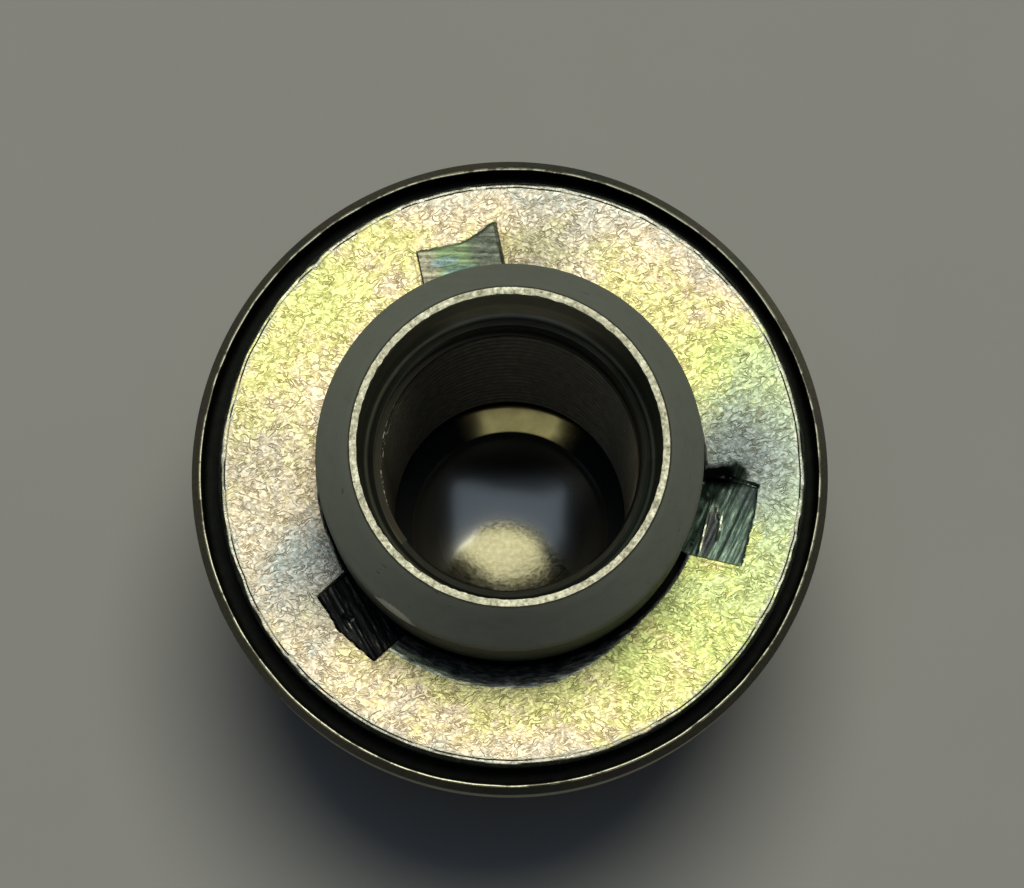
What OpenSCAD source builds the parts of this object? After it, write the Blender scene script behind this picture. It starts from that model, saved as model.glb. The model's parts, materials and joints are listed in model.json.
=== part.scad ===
// Shank-type wheel nut with a captive flat washer, standing on its closed end.
// Origin: centre of the closed end, on the surface it stands on. +Z runs along the thread, out of its mouth.
// The thread itself is left plain here: the tapped hole is modelled at its minor diameter.

/* [Thread] */
// Nominal diameter of the stud's thread
thread_d = 14; // [13:0.5:14.5]
// Thread pitch
thread_pitch = 1.5; // [1.25:0.25:2]

/* [Lead-in bore] */
// Radial room between the stud and the plain lead-in bore
lead_clearance = 0.125; // [0.05:0.025:0.3]
// Depth of the plain lead-in bore
lead_depth = 5.8; // [3:0.1:8]
// Length of the taper from the lead-in bore to the first thread
lead_taper = 1.4; // [0.8:0.1:2]

/* [Shank] */
// Outer diameter of the shank, which fits the wheel's hole
shank_d = 18.5; // [17.5:0.1:22]
// Length of shank that stands above the washer's face
shank_length = 13.2; // [11:0.1:18]
// Length of the tapered tip of the shank
tip_length = 4.5; // [4:0.1:8]
// Width of the flat ring that is left at the shank's end
tip_land = 0.39; // [0.2:0.01:0.6]

/* [Washer] */
// Outer diameter of the washer
washer_d = 29; // [26:0.1:35]
// Thickness of the washer
washer_t = 3; // [2.4:0.1:4]
// Radial room between the washer's bore and the shank
washer_clearance = 0.25; // [0.15:0.01:0.35]
// Rounding of the washer's outer edge on its face side
washer_edge_r = 0.4; // [0.2:0.05:0.8]
// Width of the bevel round the washer's bore on its face side
washer_bore_bevel = 0.7; // [0.3:0.05:1]
// Where the loose washer lies, to one side of the nut's axis, along X and Y
washer_shift = [0.12, 0.06]; // [-0.12:0.01:0.12]

/* [Stakes] */
// Directions of the three stakes round the washer
stake_angles = [102, 222, 347]; // [0:1:359]
// Width of a stake
stake_w = 4.3; // [3:0.1:6]
// Radial length of a stake's sloping floor
stake_length = 2.5; // [1.5:0.1:3]
// Depth of a stake at the washer's bore
stake_depth = 0.6; // [0.3:0.05:1]
// Height of the tang that a stake pushes into the groove
tang_h = 1.2; // [0.6:0.1:1.6]
// How far a tang reaches in past the shank's outside
tang_catch = 0.3; // [0.2:0.01:0.35]

/* [Groove] */
// Depth of the shank's groove
groove_depth = 0.65; // [0.6:0.01:0.9]
// Height of the groove above the washer's face
groove_above = 0.2; // [0.1:0.05:0.6]

/* [Flange] */
// Thickness of the flange under the washer
flange_t = 2.9; // [2:0.1:5]
// Gap between the washer's edge and the flange's rim
rim_gap = 0.7; // [0.4:0.05:1.2]
// How far the washer's face stands above the rim's crest
washer_proud = 0.9; // [0.4:0.05:1.4]
// Width of the bevel outside the rim's crest
rim_bevel = 0.42; // [0.2:0.01:0.8]
// Lean of the rim's inner wall, from its foot out to its crest
rim_lean = 0.12; // [0.05:0.01:0.3]
// Height of the cone under the flange
flange_cone_h = 1.5; // [1:0.1:3]

/* [Hex] */
// Hex size across its flats
hex_af = 22; // [21:0.5:24]
// Length of the hex
hex_length = 22.4; // [18:0.1:30]
// Width of the bevel at the hex's closed end, in from its flats
hex_bevel = 0.5; // [0.2:0.05:1]

/* [End cap] */
// Height of the cap that shows below the hex
cap_h = 4; // [3.4:0.1:6]
// Outer diameter of the cap
cap_d = 16.4; // [15.4:0.1:17.5]
// Sheet thickness of the cap
cap_t = 1; // [0.8:0.05:1.1]
// Depth of the cap's seat inside the hex
cap_seat_depth = 5.9; // [4:0.1:8]
// Outer radius of the cap's rounded corner
cap_corner_r = 2.8; // [2.2:0.1:3.2]
// Radius of the dish inside the cap's end
cap_dish_r = 30; // [20:1:60]
// Radial room between the cap and its seat
cap_clearance = 0.02; // [0.01:0.01:0.05]

/* [Hidden] */
$fn = 96;

// A cut runs this far past the face it opens
past = 1;

// Minor radius of an ISO metric internal thread, which is the tapped hole's wall
thread_minor_r = thread_d / 2 - 0.5413 * thread_pitch;
lead_r = thread_d / 2 + lead_clearance;
shank_r = shank_d / 2;
groove_r = shank_r - groove_depth;
washer_r = washer_d / 2;
washer_bore_r = shank_r + washer_clearance;
tang_r = shank_r - tang_catch;
rim_foot_r = washer_r + rim_gap;
crest_r = rim_foot_r + rim_lean;
flange_r = crest_r + rim_bevel;
hex_corner_r = hex_af / sqrt(3);
hex_face_r = hex_af / 2 - hex_bevel;

// Heights, from the closed end up
hex_end_z = cap_h;
thread_end_z = hex_end_z + cap_seat_depth;
hex_top_z = hex_end_z + hex_length;
flange_low_z = hex_top_z + flange_cone_h;
seat_z = flange_low_z + flange_t;
face_z = seat_z + washer_t;
crest_z = face_z - washer_proud;
groove_top_z = face_z + groove_above;
end_z = face_z + shank_length;
tip_z = end_z - tip_length;
thread_start_z = end_z - lead_depth - lead_taper;

// Half-section of the turned outside: flange, rim, washer seat, groove and shank
module turned_outline() {
    polygon([
        [0, hex_top_z],
        [hex_corner_r + 0.1, hex_top_z],
        [flange_r - rim_bevel, flange_low_z],
        [flange_r, flange_low_z + rim_bevel],
        [flange_r, crest_z - rim_bevel],
        [crest_r, crest_z],
        [rim_foot_r, seat_z],
        [groove_r, seat_z],
        [groove_r, groove_top_z],
        [shank_r, groove_top_z],
        [shank_r, tip_z],
        [lead_r + tip_land, end_z],
        [0, end_z]
    ]);
}

// Hex drive, with its corners bevelled at 30 degrees at the closed end
module hex_drive() {
    bevel_h = (hex_corner_r - hex_face_r) * tan(30);
    intersection() {
        translate([0, 0, hex_end_z])
            cylinder(h = hex_length + flange_cone_h / 2, r = hex_corner_r, $fn = 6);
        rotate_extrude()
            polygon([
                [0, hex_end_z],
                [hex_face_r, hex_end_z],
                [hex_corner_r, hex_end_z + bevel_h],
                [hex_corner_r, flange_low_z],
                [0, flange_low_z]
            ]);
    }
}

// Everything bored out: cap seat, tapped hole, taper and lead-in bore
module bores() {
    translate([0, 0, hex_end_z - past])
        cylinder(h = cap_seat_depth + past, r = cap_d / 2);
    translate([0, 0, thread_end_z - past])
        cylinder(h = thread_start_z - thread_end_z + 2 * past, r = thread_minor_r);
    translate([0, 0, thread_start_z])
        cylinder(h = lead_taper, r1 = thread_minor_r, r2 = lead_r);
    translate([0, 0, end_z - lead_depth])
        cylinder(h = lead_depth + past, r = lead_r);
}

module nut_body() {
    color("dimgray")
        difference() {
            union() {
                rotate_extrude()
                    turned_outline();
                hex_drive();
            }
            bores();
        }
}

// Half-section of the washer, with a rounded outer edge and a bevelled bore on its face
module washer_section() {
    difference() {
        union() {
            translate([washer_bore_r, 0])
                square([washer_r - washer_edge_r - washer_bore_r, washer_t]);
            translate([washer_bore_r, 0])
                square([washer_r - washer_bore_r, washer_t - washer_edge_r]);
            translate([washer_r - washer_edge_r, washer_t - washer_edge_r])
                circle(r = washer_edge_r);
        }
        polygon([
            [washer_bore_r - past, washer_t + past],
            [washer_bore_r - past, washer_t - washer_bore_bevel - past],
            [washer_bore_r, washer_t - washer_bore_bevel],
            [washer_bore_r + washer_bore_bevel, washer_t],
            [washer_bore_r + washer_bore_bevel, washer_t + past]
        ]);
    }
}

// Wedge that one stake presses out of the washer's face, deepest at the bore
module stake_pocket() {
    outer_r = washer_bore_r + stake_length;
    rotate([90, 0, 0])
        translate([0, 0, -stake_w / 2])
            linear_extrude(height = stake_w)
                polygon([
                    [washer_bore_r - past, washer_t + past],
                    [washer_bore_r - past, washer_t - stake_depth],
                    [washer_bore_r, washer_t - stake_depth],
                    [outer_r, washer_t],
                    [outer_r, washer_t + past]
                ]);
}

// Tang that the stake pushes in towards the groove
module tang() {
    sweep = 2 * asin(stake_w / 2 / washer_bore_r);
    rotate([0, 0, -sweep / 2])
        rotate_extrude(angle = sweep)
            translate([tang_r, washer_t - stake_depth - tang_h])
                square([washer_bore_r + stake_length / 4 - tang_r, tang_h]);
}

module washer() {
    color("khaki")
        translate([washer_shift.x, washer_shift.y, seat_z])
            difference() {
                union() {
                    rotate_extrude()
                        washer_section();
                    for (a = stake_angles)
                        rotate([0, 0, a])
                            tang();
                }
                for (a = stake_angles)
                    rotate([0, 0, a])
                        stake_pocket();
            }
}

// Half-section of a round-cornered cup: radius r, height h, corner radius corner
module cup_section(r, h, corner) {
    square([r - corner, h]);
    translate([0, corner])
        square([r, h - corner]);
    translate([r - corner, corner])
        intersection() {
            circle(r = corner);
            translate([0, -corner])
                square(corner);
        }
}

// Pressed cap, with its flat end on the ground and its inside slightly dished
module end_cap() {
    skirt_r = cap_d / 2 - cap_clearance;
    inner_r = skirt_r - cap_t;
    inner_corner = cap_corner_r - cap_t;
    dish_edge_r = inner_r - inner_corner;
    dish_rise = cap_dish_r - sqrt(cap_dish_r * cap_dish_r - dish_edge_r * dish_edge_r);
    color("darkkhaki")
        rotate_extrude()
            difference() {
                cup_section(skirt_r, thread_end_z, cap_corner_r);
                translate([0, cap_t + dish_rise])
                    cup_section(inner_r, thread_end_z, inner_corner);
                intersection() {
                    translate([0, cap_t + cap_dish_r])
                        circle(r = cap_dish_r, $fn = 360);
                    translate([0, cap_t - past])
                        square([dish_edge_r, past + 2 * dish_rise]);
                }
            }
}

nut_body();
washer();
end_cap();
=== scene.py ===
"""Wheel nut with a captive washer: detailed pieces, finishes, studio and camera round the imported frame."""

import json
import math

import bmesh
import bpy
import numpy as np
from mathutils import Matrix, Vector


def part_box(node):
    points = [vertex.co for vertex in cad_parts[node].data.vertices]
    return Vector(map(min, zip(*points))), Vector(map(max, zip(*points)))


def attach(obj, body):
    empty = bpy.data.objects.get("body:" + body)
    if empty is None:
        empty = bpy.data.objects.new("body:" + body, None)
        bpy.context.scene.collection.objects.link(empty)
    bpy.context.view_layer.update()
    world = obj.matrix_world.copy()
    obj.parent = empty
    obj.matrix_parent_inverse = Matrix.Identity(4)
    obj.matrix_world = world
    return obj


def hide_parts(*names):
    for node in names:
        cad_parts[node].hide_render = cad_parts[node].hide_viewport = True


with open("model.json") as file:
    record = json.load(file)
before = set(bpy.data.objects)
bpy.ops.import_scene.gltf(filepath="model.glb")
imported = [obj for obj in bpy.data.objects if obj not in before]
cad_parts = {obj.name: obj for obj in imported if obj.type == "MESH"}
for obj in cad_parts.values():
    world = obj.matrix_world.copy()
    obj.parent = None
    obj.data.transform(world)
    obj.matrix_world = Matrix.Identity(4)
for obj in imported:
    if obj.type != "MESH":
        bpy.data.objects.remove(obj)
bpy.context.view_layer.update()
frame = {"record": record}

MM = 0.001  # lengths below are in millimetres unless they say otherwise
TAU = 2 * math.pi

# ------------ sizes, from the frame

MOUNTS = {mount["name"]: mount for mount in frame["record"]["mounts"]}


def node_size(node):
    """A CAD node's centre in plan, outer radius, lowest and highest point."""
    low, high = (np.array(corner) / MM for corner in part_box(node))
    return (low + high)[:2] / 2, (high[0] - low[0]) / 2, low[2], high[2]


_, FLANGE_R, HEX_END_Z, END_Z = node_size("nut_body")
WASHER_AT, WASHER_R, SEAT_Z, FACE_Z = node_size("washer")
_, CAP_R, _, THREAD_END_Z = node_size("end_cap")
WASHER_T = FACE_Z - SEAT_Z
THREAD_MINOR_R = MOUNTS["stud_thread"]["dims"]["r_mm"]
PILOT = MOUNTS["shank_pilot"]["dims"]
SHANK_R = PILOT["r_mm"]
SHANK_LOW_Z = MOUNTS["shank_pilot"]["pos_m"][2] / MM - PILOT["length_mm"] / 2
TIP_Z = SHANK_LOW_Z + PILOT["length_mm"]

# Thread
PITCH = 1.5
THREAD_MAJOR_R = THREAD_MINOR_R + 0.5413 * PITCH
THREAD_START_Z = THREAD_END_Z + MOUNTS["stud_thread"]["dims"]["length_mm"]
LEAD_TAPER = 1.4
LEAD_LOW_Z = THREAD_START_Z + LEAD_TAPER
LEAD_R = 7.125
TAPER_TOP_R = LEAD_R - 0.4  # the lead-in bore steps in to this, and the taper starts there

# Shank and groove
GROOVE_R = 8.6
TIP_LAND = 0.39

# Flange and rim
RIM_BEVEL = 0.42
RIM_LEAN = 0.12
CREST_Z = 32.9
CREST_R = FLANGE_R - RIM_BEVEL
RIM_FOOT_R = CREST_R - RIM_LEAN
FLANGE_LOW_Z = 27.9
HEX_TOP_Z = 26.4

# Hex
HEX_AF = 22
HEX_CORNER_R = HEX_AF / math.sqrt(3)
HEX_FACE_R = 10.5
HEX_CORNER_ROUND = 0.35

# Washer
WASHER_BORE_R = 9.5

# Cap
CAP_T = 1
CAP_CORNER_R = 2.8
CAP_DISH_R = 29.8
CAP_DISH_TILT = 1  # degrees that the dish leans, as it was pressed
DISH_EDGE_R = CAP_R - CAP_CORNER_R


# ------------ small helpers

def smooth(x):
    """0 below 0, 1 above 1, and an even S between."""
    x = np.clip(x, 0, 1)
    return x * x * (3 - 2 * x)


def bell(x, width):
    return np.exp(-(x / width) ** 2)


def wobble(angle, seed, low, high, fall):
    """An uneven closed wave round a ring, within about -1 to 1: waves low to high times a turn."""
    rng = np.random.default_rng(seed)
    total = np.zeros_like(angle)
    power = 0
    for k in range(low, high + 1):
        size = (low / k) ** fall
        total += size * np.sin(k * angle + rng.uniform(0, TAU))
        power += size * size / 2
    return total / (2.2 * math.sqrt(power))


def rounded(corners, steps=4):
    """An outline through corners (r, z, fillet), each rounded by an arc of its fillet radius."""
    points = []
    for k, (r, z, fillet) in enumerate(corners):
        here = np.array([r, z], float)
        if not fillet or k in (0, len(corners) - 1):
            points.append(here)
            continue
        back = np.array(corners[k - 1][:2]) - here
        ahead = np.array(corners[k + 1][:2]) - here
        back /= np.linalg.norm(back)
        ahead /= np.linalg.norm(ahead)
        half = math.acos(np.clip(back @ ahead, -1, 1)) / 2
        middle = (back + ahead) / np.linalg.norm(back + ahead)
        centre = here + middle * fillet / math.sin(half)
        first = here + back * fillet / math.tan(half) - centre
        last = here + ahead * fillet / math.tan(half) - centre
        sweep = math.pi - 2 * half
        for t in np.linspace(0, 1, steps + 1):
            blend = (math.sin((1 - t) * sweep) * first + math.sin(t * sweep) * last) / math.sin(sweep)
            points.append(centre + blend)
    return points


def put(name, data):
    """A new object with this data, in the scene."""
    thing = bpy.data.objects.new(name, data)
    bpy.context.scene.collection.objects.link(thing)
    return thing


class Rings:
    """A surface made of rings of points, one column each way round: joined ring to ring into quads."""

    def __init__(self, columns):
        self.columns = columns
        self.points, self.faces, self.slots = [], [], []

    def add(self, x, y, z):
        """Adds one ring and returns its number."""
        self.points.append(np.stack(np.broadcast_arrays(x, y, z), axis=1).astype(float))
        return len(self.points) - 1

    def grow(self, x, y, z, slot):
        """Adds a ring, joined to the one before it if there is one."""
        this = self.add(x, y, z)
        if this:
            self.join(this - 1, this, slot)

    def join(self, low, high, slot, seam=0):
        """Quads between two rings, in one slot or one a column. They step on `seam` rings at the seam."""
        n = self.columns
        here = np.arange(n)
        after = (here + 1) % n
        shift = np.where(after == 0, seam, 0)
        last = len(self.points) - 1
        keep = (low + shift <= last) & (high + shift <= last)
        quads = np.stack([low * n + here, (low + shift) * n + after,
                          (high + shift) * n + after, high * n + here], axis=1)
        self.faces.append(quads[keep])
        self.slots.append(np.broadcast_to(slot, n)[keep])

    def piece(self, name, materials, sharp_deg):
        """A closed mesh object: rings in millimetres, each quad with its material's place."""
        mesh = bpy.data.meshes.new(name)
        points = np.concatenate(self.points) * MM
        mesh.from_pydata(points.tolist(), [], np.concatenate(self.faces).tolist())
        for material in materials:
            mesh.materials.append(material)
        mesh.polygons.foreach_set("material_index", np.concatenate(self.slots).astype(np.int32))
        work = bmesh.new()
        work.from_mesh(mesh)
        bmesh.ops.remove_doubles(work, verts=work.verts, dist=0.0002 * MM)
        bmesh.ops.recalc_face_normals(work, faces=work.faces)
        work.to_mesh(mesh)
        work.free()
        mesh.shade_smooth()
        mesh.set_sharp_from_angle(angle=math.radians(sharp_deg))
        return put(name, mesh)


# ------------ nut body

NUT_COLUMNS = 480


def hex_radius(angle):
    """Radius of the hex's outline, with rounded corners on the X axis."""
    sixth = TAU / 6
    off_corner = (angle + sixth / 2) % sixth - sixth / 2
    off_flat = sixth / 2 - np.abs(off_corner)
    flat_r = HEX_AF / 2 / np.cos(off_flat)
    centre_r = HEX_CORNER_R - HEX_CORNER_ROUND / math.cos(sixth / 2)
    side = centre_r * np.sin(off_corner)
    reach = np.sqrt(np.maximum(HEX_CORNER_ROUND ** 2 - side ** 2, 0))
    round_r = centre_r * np.cos(off_corner) + reach
    on_round = np.abs(side) <= HEX_CORNER_ROUND * math.sin(sixth / 2)
    return np.where(on_round, round_r, flat_r)


def thread_radius(angle, z):
    """Radius of the tapped wall: flat crests, 60 degree flanks and flat roots, along a right-hand helix."""
    along = (z - THREAD_END_Z - PITCH * angle / TAU) % PITCH
    crest, flank = PITCH / 4, PITCH * 0.3125
    rise = np.interp(along, [0, crest, crest + flank, PITCH - flank, PITCH], [0, 0, 1, 1, 0])
    return THREAD_MINOR_R + rise * (THREAD_MAJOR_R - THREAD_MINOR_R)


def bore_radius(angle, z):
    """The thread, opened out by the taper at its mouth."""
    taper = THREAD_MINOR_R + (z - THREAD_START_Z) / LEAD_TAPER * (TAPER_TOP_R - THREAD_MINOR_R)
    return np.maximum(thread_radius(angle, z), taper)


def nut_body(materials):
    steel, wear_and_glint_patches, plated, recess, bore, thread, crest_line = range(7)
    angle = np.arange(NUT_COLUMNS) / NUT_COLUMNS * TAU
    cos, sin = np.cos(angle), np.sin(angle)
    body = Rings(NUT_COLUMNS)

    def ring(r, z):
        return body.add(r * cos, r * sin, z)

    def run(points, slot):
        for r, z in points:
            body.grow(r * cos, r * sin, z, slot)

    # Cap seat, closed end, the hex's bevel with its worn edge, and its flats
    seat_r = CAP_R + 0.02
    first = ring(seat_r, THREAD_END_Z)
    run(rounded([
        (seat_r, HEX_END_Z + 4, 0), (seat_r, HEX_END_Z + 2, 0), (seat_r, HEX_END_Z + 0.3, 0.1),
        (seat_r + 0.3, HEX_END_Z, 0.1), (HEX_FACE_R, HEX_END_Z, 0)]), plated)
    hex_r = hex_radius(angle)
    bevel_z = HEX_END_Z + (hex_r - HEX_FACE_R) * math.tan(math.radians(30))
    edge = 0.12
    run([(hex_r - edge * inset, bevel_z + edge * rise)
         for inset, rise in ((1.1, -0.7), (0.25, 0.3), (0, 1))], plated)
    run([(hex_r, bevel_z + share * (HEX_TOP_Z - bevel_z)) for share in (0.25, 0.5, 0.75)], plated)
    foot = 0.5
    for turn in np.linspace(0, math.pi / 2, 5):
        spread = foot * (1 - math.cos(turn)) * smooth((HEX_CORNER_R + 0.1 - hex_r) / 0.6)
        run([(hex_r + spread, HEX_TOP_Z - foot * (1 - math.sin(turn)))], plated)

    # Flange, rim, recess and groove
    run(rounded([
        (HEX_CORNER_R + 0.1, HEX_TOP_Z, 0), (CREST_R, FLANGE_LOW_Z, 0.5),
        (FLANGE_R, FLANGE_LOW_Z + RIM_BEVEL, 0.15), (FLANGE_R, FLANGE_LOW_Z + 2.1, 0),
        (FLANGE_R, CREST_Z - RIM_BEVEL, 0.12), (CREST_R + 0.07, CREST_Z - 0.055, 0)]), plated)
    uneven = 0.022 * wobble(angle, 11, 3, 60, 0.6)
    crest = ((0.04, 0.018), (0.01, 0), (-0.03, 0.012), (-0.06, 0.05))
    run([(CREST_R + out + uneven, CREST_Z - drop - np.abs(uneven) * 0.4) for out, drop in crest], crest_line)
    run(rounded([
        (CREST_R - 0.07, CREST_Z - 0.35, 0), (RIM_FOOT_R, SEAT_Z, 0.25), (GROOVE_R, SEAT_Z, 0.2),
        (GROOVE_R, SHANK_LOW_Z, 0.15)]), recess)

    # Shank, tip, worn land, and the lead-in bore down to its step
    nick = 0.02 * wobble(angle, 5, 20, 110, 0.3)
    land_r = LEAD_R + TIP_LAND
    run(rounded([
        (SHANK_R, SHANK_LOW_Z, 0.08), (SHANK_R, SHANK_LOW_Z + 2, 0), (SHANK_R, SHANK_LOW_Z + 5, 0),
        (SHANK_R, TIP_Z, 2.6), (land_r, END_Z, 0)], 6)[:-1], steel)
    run([(SHANK_R + share * (land_r - SHANK_R), TIP_Z + share * (END_Z - TIP_Z))
         for share in (0.35, 0.7, 0.97)], steel)
    run([(land_r - 0.01 + 0.3 * nick, END_Z - 0.03), (land_r - 0.04 + 0.3 * nick, END_Z - 0.002),
         (LEAD_R + 0.12, END_Z - 0.004), (LEAD_R + 0.035 + nick, END_Z - 0.012),
         (LEAD_R + 0.01 + nick * 0.6, END_Z - 0.06)], wear_and_glint_patches)
    run([(LEAD_R, END_Z - 0.2)], bore)
    narrowing = ((0, 3.6), (0.005, 2.5), (0.12, 0.7), (0.15, 0.48), (0.2, 0.3), (0.38, 0.15))
    run([(LEAD_R - inset, LEAD_LOW_Z + rise) for inset, rise in narrowing], bore)
    last = len(body.points) - 1

    # Thread: rings that climb one pitch a turn, cut off level at both ends
    turn_steps = [0, PITCH / 4, PITCH * 0.5625, PITCH * 0.6875]
    turns = math.ceil((LEAD_LOW_Z - THREAD_END_Z) / PITCH) + 1
    climbing = []
    for start in [turn * PITCH + step for turn in range(-1, turns) for step in turn_steps]:
        z = np.clip(THREAD_END_Z + start + PITCH * angle / TAU, THREAD_END_Z, LEAD_LOW_Z)
        climbing.append(ring(bore_radius(angle, z), z))
    for k in climbing[:-1]:
        height = body.points[k][:, 2]
        body.join(k, k + 1, np.where(height > THREAD_START_Z - 0.12, bore, thread), seam=len(turn_steps))
    body.join(last, ring(bore_radius(angle, LEAD_LOW_Z), LEAD_LOW_Z), bore)
    body.join(ring(bore_radius(angle, THREAD_END_Z), THREAD_END_Z), first, recess)
    return body.piece("nut_turned", materials, 30)


# ------------ end cap

def end_cap(materials):
    """Pressed cap: flat end, round corner, straight skirt, and a dished floor inside."""
    outside, wall, dish = range(3)
    columns = 256
    angle = np.arange(columns) / columns * TAU
    cos, sin = np.cos(angle), np.sin(angle)
    inner_r = CAP_R - CAP_T
    dish_rise = CAP_DISH_R - math.sqrt(CAP_DISH_R ** 2 - DISH_EDGE_R ** 2)
    cap = Rings(columns)
    outline = rounded([
        (0, 0, 0), (1.5, 0, 0), (3.5, 0, 0), (CAP_R, 0, CAP_CORNER_R), (CAP_R, 5, 0),
        (CAP_R, THREAD_END_Z, 0.15), (inner_r, THREAD_END_Z, 0.25), (inner_r, 6, 0), (inner_r, 4, 0),
        (inner_r, CAP_T + dish_rise + 0.12, 0.42), (DISH_EDGE_R + 0.08, CAP_T + dish_rise + 0.01, 0)], 12)
    for r in np.linspace(DISH_EDGE_R, 0, 24)[1:]:
        outline.append(np.array([r, CAP_T + CAP_DISH_R - math.sqrt(CAP_DISH_R ** 2 - r * r)]))
    slope = math.tan(math.radians(CAP_DISH_TILT))
    for r, z in outline:
        inside = z > CAP_T - 0.1 and r < inner_r
        inner = dish if r < DISH_EDGE_R - 0.02 else wall
        lean = slope * smooth((5 - z) / 3) * inside
        cap.grow(r * cos, r * sin, z + lean * r * sin, inner if inside else outside)
    return cap.piece("cap_pressed", materials, 40)


# ------------ washer

BORE_BEVEL_DEPTH = 0.85  # depth of the rolled edge round the bore, as a share of its width
TANG_R = SHANK_R - 0.27  # how far in the pressed tangs reach, inside the shank's groove
STAKE_WALL = 0.07        # width over which a stake's side wall falls
GRAIN_LEAN = 0.22        # how far the tool's scratches turn from the stake's width

# Each stake in its own axes: x out from the washer's centre, u to its left, looking out.
# sides are its two walls, reach its outer edge as (u, x), depths those at the bore by each wall,
# step the depth at the outer edge, and marks extra pits and ridges: (u, x) points, width, depth.
# tones are its streaks' colours, and tints patches of colour: (x, u), reach, colour, share.
STAKES = [
    # Its green tones partly paint the reflection of the shank's lit side
    {"angle": 102, "sides": (-1.78, 2.38), "depths": (0.55, 0.3), "step": 0.03, "scratch": 0.008,
     "reach": [(-1.78, 12.4), (-1.5, 12.34), (-0.75, 11.97), (0.1, 11.7), (2.4, 11.74)],
     "marks": [([(-1.74, 12.3), (-1.74, 9.8)], 0.045, 0.07), ([(-2.02, 10.1), (-2.1, 10.9)], 0.07, -0.1)],
     "tones": [(0.3, (0.12, 0.16, 0.085)), (0.5, (0.17, 0.24, 0.12)), (0.66, (0.23, 0.31, 0.17))],
     "tints": [((10.6, 2.2), (1.6, 0.95), (0.21, 0.19, 0.14), 0.85),
               ((11.2, -1.25), (1.6, 1.25), (0.1, 0.108, 0.088), 0.9),
               ((10.95, 1.1), (0.26, 0.8), (0.13, 0.21, 0.24), 0.7),
               ((10.45, 0.5), (0.2, 0.9), (0.11, 0.2, 0.21), 0.6),
               ((10.7, 0.85), (0.035, 0.7), (0.05, 0.09, 0.07), 0.8),
               ((11.22, 1.2), (0.03, 0.55), (0.05, 0.1, 0.07), 0.7)]},
    {"angle": 347, "sides": (-2.0, 2.08), "depths": (0.45, 0.85), "step": 0.05, "scratch": 0.014,
     "reach": [(-2.05, 12.04), (0.7, 12.1), (2.1, 11.96)],
     "marks": [([(1.85, 9.3), (2.15, 10.1), (2.4, 10.75)], 0.36, 0.62),
               ([(2.25, 10.4), (2.12, 11.2), (2.05, 11.9)], 0.075, 0.3),
               ([(1.55, 9.4), (1.2, 9.7)], 0.3, 0.3),
               ([(1.05, 9.93), (-0.4, 9.86), (-1.95, 9.79)], 0.06, -0.05),
               ([(0.55, 10.22), (0, 10.52), (-0.5, 10.58), (-0.95, 10.58)], 0.06, -0.05)],
     "tones": [(0.36, (0.02, 0.034, 0.03)), (0.5, (0.06, 0.095, 0.075)), (0.66, (0.2, 0.27, 0.21))],
     "tints": [((10.05, -0.6), (0.42, 1.5), (0.03, 0.028, 0.034), 0.85),
               ((9.5, 0), (0.28, 2.4), (0.022, 0.042, 0.03), 0.9),
               ((11.5, 1.5), (0.7, 0.7), (0.06, 0.078, 0.078), 0.7),
               # A painted shadow in the crevice along the +u wall
               ((9.9, 2.25), (1.2, 0.62), (0.003, 0.004, 0.004), 1),
               ((9.86, -0.5), (0.05, 1.5), (0.6, 0.66, 0.46), 0.9),
               ((10.55, -0.2), (0.05, 0.75), (0.6, 0.66, 0.46), 0.9),
               ((10.25, 0.4), (0.05, 0.35), (0.45, 0.5, 0.38), 0.8)]},
    # Its nearly black tones are painted shade: it lies in the shank's shadow, facing its shaded side
    {"angle": 222, "sides": (-1.88, 2.4), "depths": (0.8, 0.75), "step": 0.14, "scratch": 0.018,
     "reach": [(-1.9, 11.24), (-0.85, 11.36), (0.05, 11.58), (0.8, 11.48), (2.45, 11.26)],
     "marks": [([(-2.08, 9.6), (-2.12, 9.95)], 0.09, -0.1), ([(0.02, 10.72), (-0.25, 10.78)], 0.1, 0.12),
               ([(0.16, 10.66), (0.16, 10.72)], 0.05, -0.1)],
     "tones": [(0.5, (0.008, 0.009, 0.01)), (0.6, (0.03, 0.03, 0.03)), (0.68, (0.26, 0.26, 0.22))],
     "tints": [((10.68, 0.14), (0.11, 0.07), (1, 1, 0.95), 1)]},
]


def near_line(u, x, line):
    """Distance in a stake's axes from a run of points."""
    near = np.full(u.shape, 1e9)
    for (u0, x0), (u1, x1) in zip(line, line[1:]):
        du, dx = u1 - u0, x1 - x0
        along = np.clip(((u - u0) * du + (x - x0) * dx) / (du * du + dx * dx), 0, 1)
        near = np.minimum(near, np.hypot(u - u0 - along * du, x - x0 - along * dx))
    return near


def scratches(u, x, seed):
    """Uneven parallel scratches across a stake, within about -1 to 1."""
    rng = np.random.default_rng(seed)
    across = x - GRAIN_LEAN * u
    total = np.zeros_like(u)
    for waves in (2.1, 3.4, 4.6, 6.3, 8.2):
        drift = 0.5 * np.sin(rng.uniform(0.8, 1.6) * u + rng.uniform(0, TAU))
        total += np.sin(waves * across * TAU / 1.6 + drift + rng.uniform(0, TAU)) / math.sqrt(waves)
    return total / 1.6


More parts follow.
